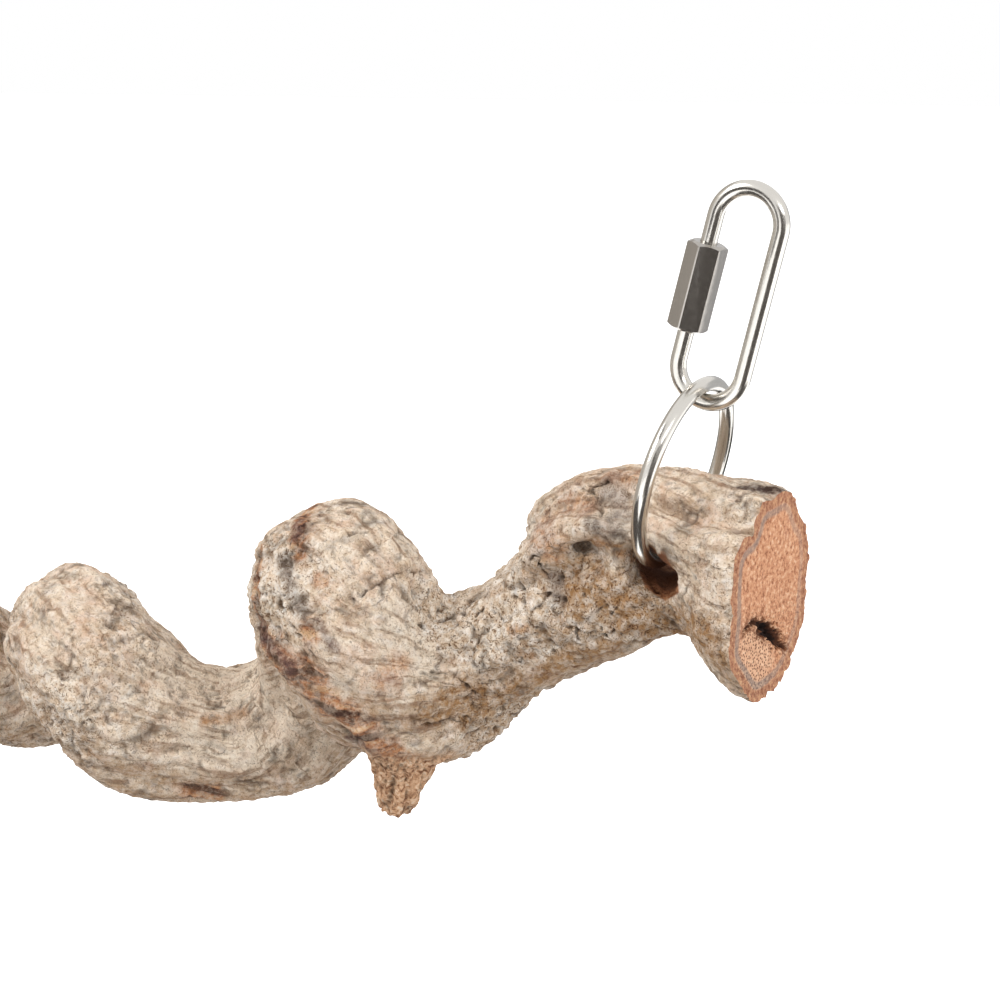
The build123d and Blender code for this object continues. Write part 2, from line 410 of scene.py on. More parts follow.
# %% [markdown]
# ## The broken twig
# A side twig broke off below the bulge. Its bark is gone, and its wood is torn into fibres that run down it,
# so its relief is long and narrow, and its tip is ragged.

# %% Twig
twig_root_pixel, twig_tip_pixel = (412, 745), (399, 811)
twig_radius, twig_edge = 14 * MM, 3 * MM
twig_start, twig_fade = 2 * MM, 4 * MM  # down the twig from its root
fibre_size = 1.9 * MM
fibre_height = 1.5  # mm
fibre_crease = 0.12
fibre_stretch = 0.82  # share of the way down the twig that the fibres don't notice
twig_root, twig_tip = cast(surface, [twig_root_pixel, twig_tip_pixel])
twig_way = (twig_tip - twig_root) / np.linalg.norm(twig_tip - twig_root)
down_twig = (points - twig_root) @ twig_way
from_twig = np.linalg.norm(points - twig_root - down_twig[:, None] * twig_way, axis=1)
twig = eased((down_twig - twig_start) / twig_fade) * eased((twig_radius - from_twig) / twig_edge)
fibre_places = points - fibre_stretch * down_twig[:, None] * twig_way
fibres = np.abs(smooth_noise(fibre_places, fibre_size, 71.0))
relief = relief * (1 - twig) + twig * fibre_height * MM * (np.minimum(fibres * 1.8, 0.8) - 0.35)
crease = crease * (1 - twig) + twig * eased(1 - fibres / fibre_crease)
print("points on the twig:", int((twig > 0.5).sum()))

# %% [markdown]
# ## The bored holes and the ends
# The drill left a plain wall, so the bark's relief fades out in each hole. The wall is orange fresh wood near
# the mouth, and further in it lies in shade, which is painted into its colour. On the left of the front mouth
# the bark is worn down into the hole and that wall faces the light, so the wood stays pale there for longer and
# the painted shade starts deeper. The flat ends have no bark either, and the saw comes later.

# %% Bored holes
bore_radius = 5.0 * MM
bore_fade = 0.8 * MM
gloom_start = 2.2 * MM
gloom_length = 3.0 * MM
worn_length = 4.5 * MM  # how much later the dark starts on the worn side
bored = np.zeros(len(points))
for hole in (right_hole, left_hole):
    from_axis = np.hypot(points[:, 0] - hole.x, points[:, 2] - hole.z)
    bored = np.maximum(bored, eased(1.0 - (from_axis - bore_radius) / bore_fade))
mouth_axis = [np.array(mouth_place - drill_way), np.array(mouth_place + drill_way)]
bored = np.maximum(bored, eased(1.2 - (distance_to(points, mouth_axis) - mouth_inner_radius) / bore_fade))
relief *= 1 - bored
crease *= 1 - bored
right_front = (points[:, 1] < 0) & (points[:, 0] > left_hole.x / 2)
worn = eased((right_hole.x - points[:, 0]) / bore_radius) * right_front
depth_in_hole = abs(mouth_place.y) - np.abs(points[:, 1])
# The gloom is painted shade in the holes: from a depth on, and later on the worn side.
gloom = bored * eased((depth_in_hole - gloom_start - worn_length * worn) / gloom_length)
bored = np.maximum(bored * (1 - worn), gloom)
# The pocket of the hollow joins the crease mark, which darkens it: painted shade.
pocket = 0.9 * eased(1.2 - distance_to(points, pocket_path + inward * pocket_depth) / (4 * pocket_width))
crease = np.maximum(crease, pocket)
print("points in the holes:", int((bored > 0.5).sum()))

# %% Flat ends
end_reach = 8 * MM
flat_enough = 0.97  # share of the normal that points along the branch
end_skin = 3 * MM  # how near to a flat end its own skin lies
end_facing, end_fade = 0.5, 0.2  # how far a point of it faces outwards


def packed_end(side):
    """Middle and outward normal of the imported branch's flat end. A side of 1 is right and -1 is left."""
    mesh = frame["nodes"]["perch_branch"].data
    furthest = max(side * vertex.co.x for vertex in mesh.vertices)
    outer = [p for p in mesh.polygons if side * p.center.x > furthest - end_reach]
    flat = [p for p in outer if side * p.normal.x > flat_enough]
    area = sum(p.area for p in flat)
    middle = sum((p.center * p.area for p in flat), Vector()) / area
    return middle, sum((p.normal * p.area for p in flat), Vector()).normalized()


for side in (1, -1):
    middle, outward = (np.array(item) for item in packed_end(side))
    near_end = np.abs((points - middle) @ outward) < end_skin
    flat = eased((normals @ outward - end_facing) / end_fade) * near_end
    relief *= 1 - flat
write_points(skin, points + normals * relief[:, None])
print("relief, mm:", round(relief.min() / MM, 2), "to", round(relief.max() / MM, 2))

# %% [markdown]
# ## Room for the rings to swing
# A ring rubs off every crumb of bark that is in its way. Each ring is a circle of wire, so its radius and its
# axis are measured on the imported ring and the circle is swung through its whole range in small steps. Skin
# that comes too near the wire is pressed straight away from it.

# %% Ring tracks
ring_room = 0.45 * MM
swing_steps = 33
points = read_points(skin)
for hand, hole in (("right", right_hole), ("left", left_hole)):
    wire = read_points(frame["nodes"][f"hanging_ring_{hand}"].data)
    ring_middle = wire.mean(axis=0)
    ring_axis = np.linalg.svd(wire - ring_middle, full_matrices=False)[2][2]
    wire_radius = np.abs((wire - ring_middle) @ ring_axis).max()
    ring_radius = np.linalg.norm(wire - ring_middle, axis=1).max() - wire_radius
    low, high = swing_range[f"{hand}_ring_swing"]
    pressed = np.zeros(len(points))
    for swing in np.radians(np.linspace(low, high, swing_steps)):
        turn = np.array(Matrix.Rotation(swing, 3, "Y"))
        offset = points - hole - turn @ (ring_middle - hole)
        level = offset - np.outer(offset @ (turn @ ring_axis), turn @ ring_axis)
        away = offset - level * (ring_radius / np.linalg.norm(level, axis=1))[:, None]
        gap = np.linalg.norm(away, axis=1)
        short = np.maximum(wire_radius + ring_room - gap, 0)
        points += away * (short / gap)[:, None]
        pressed = np.maximum(pressed, short)
    print(f"{hand} ring: {(pressed > 0).sum()} points pressed by up to {pressed.max() / MM:.2f} mm")
write_points(skin, points)

# %% [markdown]
# ## Stains, painted light and painted shade
# Weather and wear coloured the bark in patches: plum and rust where the outer bark is stripped off, ash grey
# round the healed scar, amber where fresh wood shows, dark along the top of the sawn end. Pale patches are
# painted light on the far left end and on the right flank of the bulge. Brown is partly brown bark and partly
# painted shade, on the sunken side, the lower sides and whatever faces down, and one ash stroke is painted shade
# in the groove under the shoulder. They are strokes too, but they only leave a mark on the skin.

# %% Stain strokes
# Kind, half width in mm, and pixels of the photograph
stain_and_light_strokes = [
    # Pale strokes are painted light, on the far left end and on the right flank of the bulge.
    ("pale", 9.0, [(196, 676), (236, 684), (280, 706)]),
    ("pale", 6.0, [(200, 752), (250, 748), (300, 742)]),
    ("pale", 3.5, [(402, 616), (412, 640), (424, 664)]),
    ("stripped", 3.2, [(264, 634), (282, 656), (312, 686), (342, 716), (374, 742), (396, 762)]),
    ("plum", 1.5, [(261, 626), (266, 640), (276, 654), (292, 668)]),
    ("plum", 1.2, [(304, 506), (299, 520), (297, 536)]),
    ("plum", 1.0, [(318, 622), (326, 634), (336, 650)]),
    ("plum", 1.0, [(350, 738), (372, 752), (392, 766)]),
    ("stripped", 1.8, [(309, 508), (301, 520), (299, 534), (300, 552)]),
    ("stripped", 1.4, [(261, 552), (256, 590), (258, 616)]),
    ("stripped", 1.6, [(308, 628), (314, 640)]),
    ("stripped", 2.2, [(190, 790), (215, 793)]),
    ("rust", 3.0, [(541, 528), (551, 545)]),
    ("rust", 2.4, [(566, 500), (584, 508)]),
    ("rust", 1.8, [(612, 474), (632, 476)]),
    ("rust", 2.4, [(384, 680), (398, 666)]),
    ("rust", 1.6, [(317, 578), (322, 582)]),
    ("ash", 2.4, [(610, 496), (622, 508), (617, 524)]),
    ("ash", 1.4, [(590, 520), (598, 528)]),
    # This ash stroke is painted shade in the groove under the shoulder.
    ("ash", 1.8, [(556, 578), (556, 598)]),
    ("ash", 1.6, [(284, 560), (292, 590), (302, 612)]),
    ("amber", 0.7, [(594, 543), (606, 546), (616, 547)]),
    ("amber", 1.3, [(622, 553), (632, 555)]),
    ("amber", 1.1, [(205, 722), (245, 712)]),
    ("amber", 1.0, [(512, 632), (524, 627)]),
    # Brown strokes on the sunken side and the lower sides are partly brown bark and partly painted shade.
    ("brown", 5.5, [(572, 584), (592, 594), (614, 604), (634, 618)]),
    ("brown", 4.5, [(648, 628), (680, 626), (706, 640), (722, 668)]),
    ("brown", 3.0, [(470, 716), (520, 690), (560, 668), (610, 648)]),
    ("brown", 3.5, [(424, 716), (448, 706), (476, 694)]),
    ("dark", 1.8, [(744, 486), (758, 488), (774, 490), (792, 491)]),
]
stains_and_painted_light = {stroke[0]: np.zeros(len(points)) for stroke in stain_and_light_strokes}
print("kinds of stain:", list(stains_and_painted_light))

# %% Lay the stains
stroke_edge_size = 3.5 * MM
stroke_reach, stroke_raggedness, stroke_fade = 2.0, 1.4, 1.3  # in half widths of a stroke
underside_shade_share, underside_shade_start, underside_shade_fade = 0.6, 0.05, 0.7  # brown on what faces down
stroke_edge = 0.5 * smooth_noise(points, stroke_edge_size, 43.0)
for kind, width, pixels in stain_and_light_strokes:
    reach = distance_to(points, cast(surface, pixels)) / (width * MM)
    stain = eased((stroke_reach - reach + stroke_raggedness * stroke_edge) / stroke_fade)
    stains_and_painted_light[kind] = np.maximum(stains_and_painted_light[kind], stain)
# Brown on what faces down is partly brown bark and partly painted shade on the undersides.
underside_brown_and_shade = underside_shade_share * eased((-normals[:, 2] - underside_shade_start) / underside_shade_fade)
stains_and_painted_light["brown"] = np.maximum(0.9 * stains_and_painted_light["brown"], underside_brown_and_shade)
print("stained points:", {kind: int((mark > 0.5).sum()) for kind, mark in stains_and_painted_light.items()})

# %% [markdown]
# ## Fewer faces
# Everything found so far is kept on the skin as named marks for the material. Then faces are joined where the
# bark is smooth, which saves about half of them.

# %% Marks on the skin and fewer faces
bark_triangles = 136000
marks = {"crease": crease, "crumbly": crumbly, "bored": bored, "gloom": gloom, "twig": twig, **stains_and_painted_light}
for name, values in marks.items():
    skin.attributes.new(name, "FLOAT", "POINT").data.foreach_set("value", values.astype(np.float32))
grain_layer = skin.attributes.new("grain", "FLOAT_VECTOR", "POINT")
grain_layer.data.foreach_set("vector", grain.astype(np.float32).ravel())
holder = in_scene("holder", skin)
fewer = holder.modifiers.new("fewer", "DECIMATE")
fewer.ratio = bark_triangles / sum(len(p.vertices) - 2 for p in skin.polygons)
skin = finished_mesh(holder)
print("thinned skin, faces:", len(skin.polygons), "marks:", sorted(a.name for a in skin.attributes))

# %% [markdown]
# ## Cracks
# A few long cracks are plain to see in the photograph. They are strokes like the forms, but only a fraction
# of a millimetre wide, and the skin's faces are coarser than that. So the faces near a crack and near the
# mouth of the hole are divided first, and then the cracks are cut.

# %% Cracks
crack_strokes = [
    [(353, 600), (362, 595), (372, 587), (381, 584), (390, 575), (401, 573), (416, 572)],
    [(346, 531), (350, 534), (353, 532), (360, 531)],
    [(363, 532), (368, 532)],
    [(433, 673), (453, 675), (465, 684), (476, 694)],
    [(292, 627), (300, 635)],
    [(422, 726), (437, 722), (452, 720), (463, 722)],
    [(467, 734), (478, 730), (490, 729)],
    [(530, 613), (537, 606), (543, 600), (549, 594)],
    [(568, 627), (577, 628), (578, 641)],
    [(601, 628), (606, 637)],
    [(612, 614), (619, 604)],
    [(608, 482), (592, 487), (592, 492), (598, 499), (602, 510), (601, 516)],
    [(529, 561), (533, 556), (538, 557), (541, 570), (547, 575)],
    [(440, 622), (452, 616)],
    [(470, 622), (478, 614), (484, 608)],
    [(478, 641), (474, 652)],
]
surface = surface_of(skin)
crack_paths = [cast(surface, pixels) for pixels in crack_strokes]
print("cracks:", len(crack_paths))

# %% Finer faces near the cracks
fine_reach = 1.4 * MM
mouth_reach = 7.5 * MM


def distance_to_any(points, paths):
    """Distance of every point from the nearest of several paths."""
    return np.min([distance_to(points, path) for path in paths], axis=0)


def at_mouth(points):
    """Which points lie round the front mouth of the right hole."""
    return (distance_to(points, mouth_axis) < mouth_reach) & (points[:, 1] < 0)


def divide(mesh, fine, cuts):
    """Divides the edges of a mesh by this many cuts where both of their ends are marked."""
    body = bmesh.new()
    body.from_mesh(mesh)
    marked = [edge for edge in body.edges if fine[edge.verts[0].index] and fine[edge.verts[1].index]]
    bmesh.ops.subdivide_edges(body, edges=marked, cuts=cuts, use_grid_fill=True)
    bmesh.ops.triangulate(body, faces=[face for face in body.faces if len(face.verts) > 3])
    body.to_mesh(mesh)
    body.free()


points = read_points(skin)
divide(skin, (distance_to_any(points, crack_paths) < fine_reach) | at_mouth(points), 2)
print("faces now:", len(skin.polygons))

# %% Cut the cracks
crack_depth = 1.3 * MM
crack_width = 0.3 * MM
wobble_size, wobble_reach = 1.6 * MM, 0.5 * MM
broken_size = 2.4 * MM


def read_mark(name):
    """The values of a mark on the skin."""
    values = np.zeros(len(skin.vertices), np.float32)
    skin.attributes[name].data.foreach_get("value", values)
    return values


def write_mark(name, values):
    """Puts a mark on the skin, or changes it."""
    layer = skin.attributes.get(name) or skin.attributes.new(name, "FLOAT", "POINT")
    layer.data.foreach_set("value", np.asarray(values, np.float32))


points, normals = read_points(skin), read_points(skin, "normal")
wobble = np.stack([smooth_noise(points, wobble_size, shift) for shift in (91.3, 95.9, 99.1)], axis=1)
crack_share = 1 - distance_to_any(points + wobble_reach * wobble, crack_paths) / (2 * crack_width)
cracked = eased(crack_share + 0.35 * smooth_noise(points, broken_size, 103.0))
# The crease mark darkens the cracks: dust and painted shade.
write_mark("crease", np.maximum(read_mark("crease"), cracked))
write_points(skin, points - normals * (crack_depth * cracked)[:, None])
print("cracked points:", int((cracked > 0.5).sum()))

# %% [markdown]
# ## The dark of the hole
# Seen from the front, the hole is a dark patch with a torn edge and an orange lower lip, where the drill
# broke out fresh wood. The dark is painted shade. Its outline comes from the photograph, and every place on the
# skin near the mouth is marked by how far inside the outline it is seen.

# %% Outline of the hole
hole_outline = [(636, 560), (663, 553), (677, 575), (679, 593), (665, 601), (645, 588)]
lip_edges = (3, 4)
lip_start, lip_width = 2.0, 7.0  # pixels in from the outline
bored_blur, gloom_early, gloom_blur = 2, 1, 3  # pixels
seen_at = pixels_of(points)
edge_depths = []
for start, end in zip(hole_outline, hole_outline[1:] + hole_outline[:1]):
    run = np.subtract(end, start)
    edge_depths.append((seen_at - start) @ np.array((-run[1], run[0])) / np.hypot(*run))
inside = np.min(edge_depths, axis=0)
lip_depth = np.min([edge_depths[i] for i in lip_edges], axis=0)
front = at_mouth(points)
lip = front * (1 - eased((lip_depth - lip_start) / lip_width))
write_mark("bored", np.maximum(read_mark("bored"), front * eased(0.5 + inside / bored_blur)))
# Painted shade inside the outline of the hole, less on the orange lip.
front_gloom = front * eased((inside + gloom_early) / gloom_blur)
write_mark("gloom", np.maximum(read_mark("gloom"), front_gloom) * (1 - 0.8 * lip))
print("points inside the outline:", int((front & (inside > 0)).sum()))

# %% [markdown]
# ## Sawing the ends
# The skin still has rounded ends. A saw cut is flat and its edge follows every lump of the bark, so each end
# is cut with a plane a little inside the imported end, and the open edge is drawn in towards the middle ring
# by ring. The rings give the sawn face fine, even faces for its pits, and the distance from the edge tells
# the material where bark ends and wood begins.

# %% Open edges and their loops
def open_edges(items):
    """The edges among these items that have a face on one side only."""
    return [item for item in items if isinstance(item, bmesh.types.BMEdge) and item.is_boundary]


def loops_of(edges):
    """The separate loops of these edges, the longest first."""
    loops = []
    waiting = dict.fromkeys(edges)
    while waiting:
        loop = [waiting.popitem()[0]]
        for edge in loop:
            near = [other for vertex in edge.verts for other in vertex.link_edges if other in waiting]
            for other in dict.fromkeys(near):
                del waiting[other]
                loop.append(other)
        loops.append(loop)
    return sorted(loops, key=len, reverse=True)


# %% Saw an end and close it
saw_inset = 0.9 * MM
saw_rings = 26
rim_smoothing = 3 * MM


def saw_end(body, side, edge_distance):
    """Cuts one end flat and closes it with rings of faces. Returns the new faces."""
    middle, outward = packed_end(side)
    cut_place = middle - outward * saw_inset
    cut = bmesh.ops.bisect_plane(
        body,
        geom=body.verts[:] + body.edges[:] + body.faces[:],
        plane_co=cut_place,
        plane_no=outward,
        clear_outer=True,
    )
    cut_edges = open_edges(cut["geom_cut"])
    for edge in cut_edges:
        edge.smooth = False
    edges, *crumb_loops = loops_of(cut_edges)
    made = []
    for loop in crumb_loops:
        made += bmesh.ops.contextual_create(body, geom=loop)["faces"]
    corners = np.array([vertex.co for vertex in dict.fromkeys(v for edge in edges for v in edge.verts)])
    middle = Vector(corners.mean(axis=0))
    close = np.linalg.norm(corners[:, None] - corners, axis=2) < rim_smoothing
    rim = KDTree(len(corners))
    for i, place in enumerate(close @ corners / close.sum(axis=1)[:, None]):
        rim.insert(place, i)
    rim.balance()
    for ring in range(1, saw_rings):
        new = bmesh.ops.extrude_edge_only(body, edges=edges)["geom"]
        made += [item for item in new if isinstance(item, bmesh.types.BMFace)]
        edges = open_edges(new)
        shrink = (saw_rings - ring) / (saw_rings - ring + 1)
        for vertex in dict.fromkeys(v for edge in edges for v in edge.verts):
            vertex.co = middle + (vertex.co - middle) * shrink
            vertex[edge_distance] = rim.find(vertex.co)[2]
    filled = bmesh.ops.contextual_create(body, geom=edges)["faces"]
    poked = bmesh.ops.poke(body, faces=filled)
    for vertex in poked["verts"]:
        vertex[edge_distance] = rim.find(vertex.co)[2]
    return made + poked["faces"]


# %% Saw both ends
wood = bmesh.new()
wood.from_mesh(skin)
edge_distance = wood.verts.layers.float.new("edge_distance")
for side in (1, -1):
    for face in saw_end(wood, side, edge_distance):
        face.material_index = 1
for face in wood.faces:
    face.smooth = True
bmesh.ops.recalc_face_normals(wood, faces=wood.faces)
wood.to_mesh(skin)
wood.free()
print("sawn branch, triangles:", sum(len(p.vertices) - 2 for p in skin.polygons))

# %% [markdown]
# ## The knot in the sawn end
# The saw went through an old knot near the bottom of the right end. Its rotten middle fell out and left a
# dark, ragged pit, and round it the wood is full of open pores. The pit is cut shallow, and its dark is rotten
# wood and painted shade.

# %% Knot
# Half width in mm, share of the depth, and pixels of the photograph
knot_strokes = [
    (0.45, 0.6, [(745, 631), (753, 622), (763, 625)]),
    (0.8, 0.8, [(762, 626), (770, 629)]),
    (1.2, 1.0, [(768, 629), (773, 634), (778, 640)]),
    (0.5, 0.6, [(779, 641), (785, 648)]),
    (0.35, 0.5, [(757, 631), (764, 637)]),
]
surface = surface_of(skin)
knot_paths = [cast(surface, pixels) for width, share, pixels in knot_strokes]
print("strokes of the knot:", len(knot_paths))

# %% Pit, lobe and pores
lobe_pixel = (754, 662)
lobe_radius = 10 * MM
knot_depth = 2.6 * MM
knot_reach = 4 * MM
halo_width, halo_share = 2.8 * MM, 0.25
splinter_size, splinter_share = 0.9 * MM, 0.8
bark_edge = 1.0 * MM
porous_share = 0.4  # outside the lobe
lobe_place = cast(surface, [lobe_pixel])[0]
points = read_points(skin)
divide(skin, distance_to_any(points, knot_paths) < knot_reach, 1)
points = read_points(skin)
inside_cut = eased(read_mark("edge_distance") / bark_edge) * (points[:, 0] > right_hole.x)
knot = np.zeros(len(points))
ragged = 1 + splinter_share * smooth_noise(points, splinter_size, 83.0)
for path, (width, share, pixels) in zip(knot_paths, knot_strokes):
    apart = distance_to(points, path)
    knot = np.maximum(knot, share * eased(1.5 - apart * ragged / (1.4 * width * MM)) * inside_cut)
halo = halo_share * eased(1.3 - distance_to_any(points, knot_paths) / halo_width) * inside_cut
lobe = eased((1.2 - np.linalg.norm((points - lobe_place) / lobe_radius, axis=1)) / 0.6) * inside_cut
pore_height = lobe_place[2] + 1.8 * lobe_radius  # above this the wood is close-grained
porous = np.maximum(lobe, porous_share * eased((pore_height - points[:, 2]) / lobe_radius)) * inside_cut
outward = np.array(packed_end(1)[1])
write_points(skin, points - outward * (knot_depth * knot * ragged)[:, None])
for name, values in (("knot", np.maximum(knot, halo)), ("lobe", lobe), ("porous", porous)):
    write_mark(name, values)
print("points in the knot:", int((knot > 0.3).sum()))

# %% [markdown]
# ## Materials: one way to add a node
# All finishes are made of nodes, so one small function adds a node, sets it up and links it. It hands back a
# socket for the next node: the one that is asked for, or else the first that is in use. A Mix node has inputs
# for several kinds of value: for colours, 0 is the share of the second one, and 6 and 7 are the two colours.

# %% Nodes and colours
def linear(hex_colour):
    """An sRGB hex colour as the linear RGBA that Blender's sockets take."""
    shares = [int(hex_colour[i : i + 2], 16) / 255 for i in (1, 3, 5)]
    return [s / 12.92 if s <= 0.04045 else ((s + 0.055) / 1.055) ** 2.4 for s in shares] + [1.0]


def new_material(name):
    """A new material, its node tree and the inputs of its shader."""
    material = bpy.data.materials.new(name)
    material.use_nodes = True
    return material, material.node_tree, material.node_tree.nodes["Principled BSDF"].inputs


def add_node(tree, kind, inputs, stops=None, output=None, **settings):
    """Adds a node and returns an output. Inputs are values or sockets, and stops are a ramp's colours."""
    node = tree.nodes.new("ShaderNode" + kind)
    for name, value in settings.items():
        setattr(node, name, value)
    for name, value in inputs.items():
        if isinstance(value, bpy.types.NodeSocket):
            tree.links.new(value, node.inputs[name])
        else:
            node.inputs[name].default_value = value
    if stops:
        ramp = node.color_ramp.elements
        while len(ramp) < len(stops):
            ramp.new(1.0)
        for element, (place, colour) in zip(ramp, stops):
            element.position = place
            element.color = linear(colour)
    return node.outputs[output] if output else next(socket for socket in node.outputs if socket.enabled)


# %% [markdown]
# ## Bark
# Weather dried, split and dusted this bark, and nothing polished it, so it is dull all over. It is pale tan
# with pink, yellow and grey in it, cream on its lumps and dark in its creases, where dust and painted shade
# lie. Where it is crumbly it is wrinkled and flecked, and where it is sound the grain shows as long streaks.
# Patterns from patches of centimetres down to wrinkles of a millimetre are mixed, and the finest also shape the
# surface.

# %% Bark patterns
patch_size = 15 * MM
tint_size = 5 * MM
cream_size = 2.3 * MM
wrinkle_size = 1.0 * MM
bark, tree, shader = new_material("weathered_bark")
place = add_node(tree, "TexCoord", {}, output="Object")
grain_place = add_node(tree, "Attribute", {}, output="Vector", attribute_name="grain")
mark = {
    name: add_node(tree, "Attribute", {}, output="Fac", attribute_name=name)
    for name in ("crease", "crumbly", "bored", "gloom", "twig", *stains_and_painted_light)
}

patches = add_node(tree, "TexNoise", {"Vector": place, "Scale": 1 / patch_size, "Detail": 4.0})
tints = add_node(tree, "TexNoise", {"Vector": place, "Scale": 1 / tint_size, "Detail": 3.0})
flecks = add_node(
    tree, "TexNoise", {"Vector": place, "Scale": 1 / cream_size, "Detail": 6.0, "Roughness": 0.7}
)
wrinkles = add_node(
    tree, "TexNoise", {"Vector": place, "Scale": 1 / wrinkle_size, "Detail": 3.0, "Distortion": 1.8}
)
print("marks that the bark reads:", sorted(mark))

# %% Bark colours
tone = add_node(
    tree,
    "ValToRGB",
    {"Fac": patches},
    [(0.34, "#d6b498"), (0.46, "#e9d1b9"), (0.58, "#f3e3d0"), (0.7, "#e6d5c2")],
)
tint = add_node(
    tree,
    "ValToRGB",
    {"Fac": tints},
    [(0.36, "#e6ba9c"), (0.47, "#f1ddc8"), (0.57, "#f2dec3"), (0.67, "#ddc7b8")],
)
lump_tone = add_node(
    tree,
    "ValToRGB",
    {"Fac": flecks},
    [(0.32, "#8f6f54"), (0.42, "#d8c0a5"), (0.53, "#f4e7d7"), (0.66, "#fffaf4")],
)
tinted = add_node(tree, "Mix", {0: 0.5, 6: tone, 7: tint}, data_type="RGBA")
lump_share = add_node(tree, "MapRange", {"Value": mark["crumbly"], "To Min": 0.38, "To Max": 0.85})
lumpy = add_node(tree, "Mix", {0: lump_share, 6: tinted, 7: lump_tone}, data_type="RGBA")
print("bark nodes so far:", len(tree.nodes))

# %% [markdown]
# ## Stains, painted light and painted shade on the bark
# Each stain is a colour laid over the bark where its mark is. The cream lumps let less of it through, so it
# breaks up as a real stain does. Rust also lies in patches of its own, and stripped wood shows its fibres.

# %% Stained bark
BLACK, WHITE = "#000000", "#ffffff"
streak_size = 1.5 * MM
streak_stretch = (0.16, 1, 1)  # along the grain, and round the branch
rust_size = 6 * MM
streak_place = add_node(tree, "Mapping", {"Vector": grain_place, "Scale": streak_stretch})
streaks = add_node(
    tree, "TexNoise", {"Vector": streak_place, "Scale": 1 / streak_size, "Detail": 4.0, "Distortion": 0.4}
)
rust_noise = add_node(
    tree, "TexNoise", {"Vector": grain_place, "Scale": 1 / rust_size, "Detail": 6.0, "Distortion": 0.6}
)
rust_patches = add_node(tree, "ValToRGB", {"Fac": rust_noise}, [(0.57, BLACK), (0.68, "#a0a0a0")])
rust_share = add_node(tree, "Math", {0: rust_patches, 1: mark["rust"]}, operation="MAXIMUM")
broken = add_node(
    tree,
    "MapRange",
    {"Value": flecks, "From Min": 0.4, "From Max": 0.58, "To Min": 1.0, "To Max": 0.5},
)
rust_tone = add_node(
    tree, "ValToRGB", {"Fac": tints}, [(0.38, "#8f6655"), (0.52, "#bd8560"), (0.64, "#dba77b")]
)
stripped_tone = add_node(
    tree,
    "ValToRGB",
    {"Fac": streaks},
    [(0.36, "#5f4439"), (0.45, "#90664c"), (0.54, "#bd8259"), (0.66, "#d8b088")],
)
# Where, what colour, and how strong
stain_and_light_tones = [
    # Pale is painted light. Brown is partly brown bark and partly painted shade. Ash is grey bark, and painted
    # shade in the groove under the shoulder.
    (mark["pale"], linear("#fbecd8"), 0.75),
    (mark["brown"], linear("#a67c4f"), 1.05),
    (rust_share, rust_tone, 0.7),
    (mark["ash"], linear("#8a817b"), 0.85),
    (mark["amber"], linear("#c98d52"), 0.7),
    (mark["stripped"], stripped_tone, 1.1),
    (mark["plum"], linear("#6a4f4a"), 0.95),
    (mark["dark"], linear("#54423c"), 1.2),
]
with_stains_and_painted_light = lumpy
for where, colour, strength in stain_and_light_tones:
    thin = add_node(tree, "Math", {0: where, 1: strength}, operation="MULTIPLY")
    amount = add_node(tree, "Math", {0: thin, 1: broken}, operation="MULTIPLY")
    with_stains_and_painted_light = add_node(tree, "Mix", {0: amount, 6: with_stains_and_painted_light, 7: colour}, data_type="RGBA")
print("stains laid over the bark:", len(stain_and_light_tones))

# %% [markdown]
# ## Streaks, wrinkles and the bare twig
# Sound bark shows the grain as long dark streaks, and crumbly bark is wrinkled all over. Both darken what
# is under them, so they are multiplied over it. The twig has lost its bark, and its torn fibres are paler.

# %% Streaks, wrinkles and twig
fibre_grain = 1.6 * MM
wrinkle_tone = add_node(
    tree, "ValToRGB", {"Fac": wrinkles}, [(0.34, "#86705c"), (0.45, "#f4eee7"), (0.52, WHITE)]
)
wrinkle_share = add_node(tree, "MapRange", {"Value": mark["crumbly"], "To Min": 0.5, "To Max": 1.0})
streak_tone = add_node(
    tree, "ValToRGB", {"Fac": streaks}, [(0.37, "#a58d78"), (0.47, "#f5efe8"), (0.53, WHITE)]
)
streak_share = add_node(tree, "MapRange", {"Value": mark["crumbly"], "To Min": 0.65, "To Max": 0.1})
streaked = add_node(
    tree, "Mix", {0: streak_share, 6: with_stains_and_painted_light, 7: streak_tone}, data_type="RGBA", blend_type="MULTIPLY"
)
wrinkled = add_node(
    tree, "Mix", {0: wrinkle_share, 6: streaked, 7: wrinkle_tone}, data_type="RGBA", blend_type="MULTIPLY"
)
fibre_noise = add_node(
    tree, "TexNoise", {"Vector": place, "Scale": 1 / fibre_grain, "Detail": 5.0, "Distortion": 1.2}
)
twig_tone = add_node(
    tree,
    "ValToRGB",
    {"Fac": fibre_noise},
    [(0.34, "#80563a"), (0.46, "#c99a75"), (0.58, "#e5bc98"), (0.7, "#f2d8bd")],
)
with_twig = add_node(tree, "Mix", {0: mark["twig"], 6: wrinkled, 7: twig_tone}, data_type="RGBA")
print("bark nodes so far:", len(tree.nodes))

# %% [markdown]
# ## Dark marks and bored wood
# Insects pricked the bark with small dark specks, and drying split it along lines as thin as a hair. A line
# is drawn where a noise passes through its middle value. One dark colour lies on these marks and on the modelled
# creases, cracks and pocket; in the creases, cracks and pocket it is dust and painted shade. The drilled walls
# are fresh wood, with painted shade further in. The finest patterns also bend the light as a bump.

